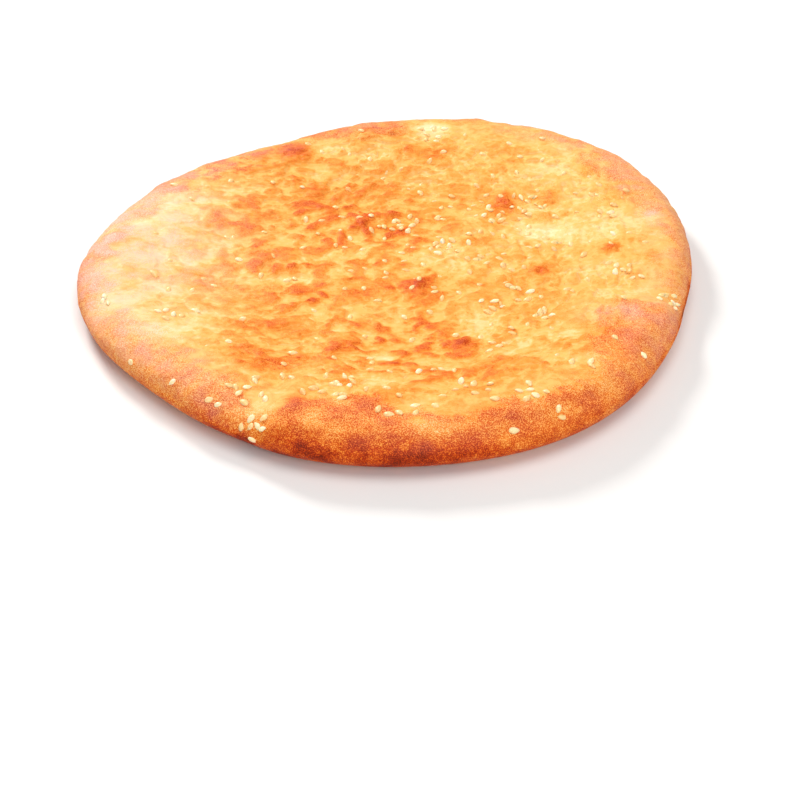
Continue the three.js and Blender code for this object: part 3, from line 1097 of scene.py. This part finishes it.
def scatter_tree():
    tree, given, result = new_tree("sesame_scatter", "GeometryNodeTree", SCATTER_INPUTS, SHAPE_OUT)
    seed_inputs = {"Object": given["Seed Shape"], "As Instance": True}
    copy_inputs = {
        "Points": landed_seeds(tree, given),
        "Instance": add_node(tree, "GeometryNodeObjectInfo", seed_inputs).outputs["Geometry"],
        "Rotation": lying_turn(tree, given),
        "Scale": read_point(tree, "size"),
    }
    copies = add_node(tree, "GeometryNodeInstanceOnPoints", copy_inputs).outputs[0]
    chance_inputs = {"Seed": given["Seed"]}
    chance = add_node(tree, "FunctionNodeRandomValue", chance_inputs, data_type="FLOAT").outputs[1]
    tone = product(tree, chance, scaled(tree, read_point(tree, "deeper"), -DEEP_TOAST, 1.0))
    copies = store_point(tree, copies, "tone", tone, domain="INSTANCE")
    real = add_node(tree, "GeometryNodeRealizeInstances", {"Geometry": copies})
    dress = {"Geometry": real.outputs[0], "Material": given["Hull"]}
    dressed = add_node(tree, "GeometryNodeSetMaterial", dress)
    tree.links.new(dressed.outputs[0], result["Geometry"])
    return tree


# %% [markdown]
# ## The seeds' finish
# Hulls are cream, some paler and some toasted, with a satin sheen. Each copy carries a chance
# number that picks its tone, and the deeper seeds get the darker tones.

# %% The hull material
HULL_COLOURS = [
    (0.0, (238, 190, 118)),
    (0.35, (245, 206, 142)),
    (1.0, (253, 234, 194)),
]


def hull_material():
    material, tree, shader = new_material("sesame_hull")
    tone = read_value(tree, "tone")
    grain = place_group(tree, fine_grain, Size=0.35 * MM, Low=0.25, High=0.75)
    shade = weighted_sum(tree, (tone, 0.8), (grain, 0.25))
    tree.links.new(colour_ramp(tree, shade, HULL_COLOURS), shader.inputs["Base Color"])
    tree.links.new(weighted_sum(tree, (grain, 0.15), (1.0, 0.3)), shader.inputs["Roughness"])
    bump = add_node(tree, "ShaderNodeBump", {"Height": grain, "Strength": 0.2, "Distance": 0.1 * MM})
    tree.links.new(bump.outputs["Normal"], shader.inputs["Normal"])
    shader.inputs["Subsurface Weight"].default_value = 0.7
    shader.inputs["Subsurface Radius"].default_value = (1.0, 0.7, 0.4)
    shader.inputs["Subsurface Scale"].default_value = 0.8 * MM
    return material


# %% Dropping the seeds
DROP_FROM = 60 * MM
SEED_SIZE_SPREAD = 0.14
LEAST_DEEPER = 0.35
SPIN_DRAW, SIZE_DRAW, DEEPER_DRAW = 500, 900, 1700

high = np.full(len(seeds), DROP_FROM)
seed_points = np.column_stack([seeds[:, 0] - middle.x, seeds[:, 1] - middle.y, high])
sesame = make_piece("naan_sesame", seed_points, [])
number = np.arange(len(seeds))
add_values(sesame, "spin", 2 * math.pi * draw(number + SPIN_DRAW))
add_values(sesame, "size", 1 + SEED_SIZE_SPREAD * (2 * draw(number + SIZE_DRAW) - 1))
by_chance = draw(number + DEEPER_DRAW) * (number < front_from)
deeper = LEAST_DEEPER + (1 - LEAST_DEEPER) * by_chance
add_values(sesame, "deeper", (number >= deep_from) * deeper)
run_tree(sesame, scatter_tree(), {"Bread": bread, "Seed Shape": seed_shape, "Hull": hull_material()})
sesame.data.shade_smooth()
bpy.data.objects.remove(seed_shape)
print("sesame:", len(sesame.data.polygons), "faces")

# %% [markdown]
# ## Which piece stands for what
# Bread and seeds both ride on the one body, and together they stand for the one solid.

# %% Riding on the body
for piece, slot in ((bread, "crust"), (sesame, "sesame")):
    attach(piece, "root")
    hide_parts("naan")

# %% [markdown]
# ## The floor
# The photo's ground is white, so a wide pale floor catches the bread's shadow and nothing else.

# %% The floor
FLOOR_SIZE = 6.0
FLOOR_COLOUR = (0.84, 0.835, 0.825, 1.0)


def floor_material():
    material, _, shader = new_material("pale_floor")
    shader.inputs["Base Color"].default_value = FLOOR_COLOUR
    shader.inputs["Roughness"].default_value = 0.85
    return material


half = FLOOR_SIZE / 2
floor = make_piece(
    "floor",
    [(-half, -half, 0.0), (half, -half, 0.0), (half, half, 0.0), (-half, half, 0.0)],
    [(0, 1, 2, 3)],
)
floor.data.materials.append(floor_material())

# %% [markdown]
# ## The light
# The photo is bright and soft: white all round, with the strongest light high at the back left,
# so that the rim's near side falls into shade. Round lights of some size give soft shadows.

# %% The lights
world = bpy.data.worlds.new("soft_white")
world.use_nodes = True
sky = world.node_tree.nodes["Background"].inputs
sky["Color"].default_value = (1.0, 0.99, 0.97, 1.0)
sky["Strength"].default_value = 0.33
bpy.context.scene.world = world


def soft_box(name, place, size, power, tint=(1.0, 1.0, 1.0)):
    light = bpy.data.lights.new(name, "AREA")
    light.shape = "DISK"
    light.size = size
    light.energy = power
    light.color = tint
    box = bpy.data.objects.new(name, light)
    box.location = place
    box.rotation_euler = (Vector((0, 0, 0)) - Vector(place)).to_track_quat("-Z", "Y").to_euler()
    bpy.context.scene.collection.objects.link(box)
    return box


soft_box("key_back_left", (-0.5, 0.8, 0.62), 0.3, 11.0, (1.0, 0.97, 0.93))
soft_box("overhead", (0.1, -0.2, 1.1), 0.9, 6.0)
soft_box("front", (0.25, -0.85, 0.55), 0.6, 4.2)

# %% [markdown]
# ## The camera
# The camera looks down at the photo's angle, from a distance that was fitted to the outline. The
# bread sits above the middle of the picture, so the camera points a little below it.

# %% The camera
VIEW_DISTANCE = 520 * MM
VIEW_ELEVATION = math.radians(31.6)
FOCAL_PIXELS = 1561
IMAGE_PIXELS = 800
AIM_ROW = 267
AIM = Vector((0.9 * MM, -0.2 * MM, 7.5 * MM)) - middle

camera = bpy.data.cameras.new("photo_view")
camera.sensor_width = 36
camera.lens = camera.sensor_width * FOCAL_PIXELS / IMAGE_PIXELS
eye = bpy.data.objects.new("photo_view", camera)
back = Vector((0, -math.cos(VIEW_ELEVATION), math.sin(VIEW_ELEVATION)))
eye.location = AIM + back * VIEW_DISTANCE
pitch = VIEW_ELEVATION + math.atan2(IMAGE_PIXELS / 2 - AIM_ROW, FOCAL_PIXELS)
eye.rotation_euler = (math.pi / 2 - pitch, 0, 0)
bpy.context.scene.collection.objects.link(eye)
bpy.context.scene.camera = eye
bpy.context.scene.view_settings.view_transform = "Standard"
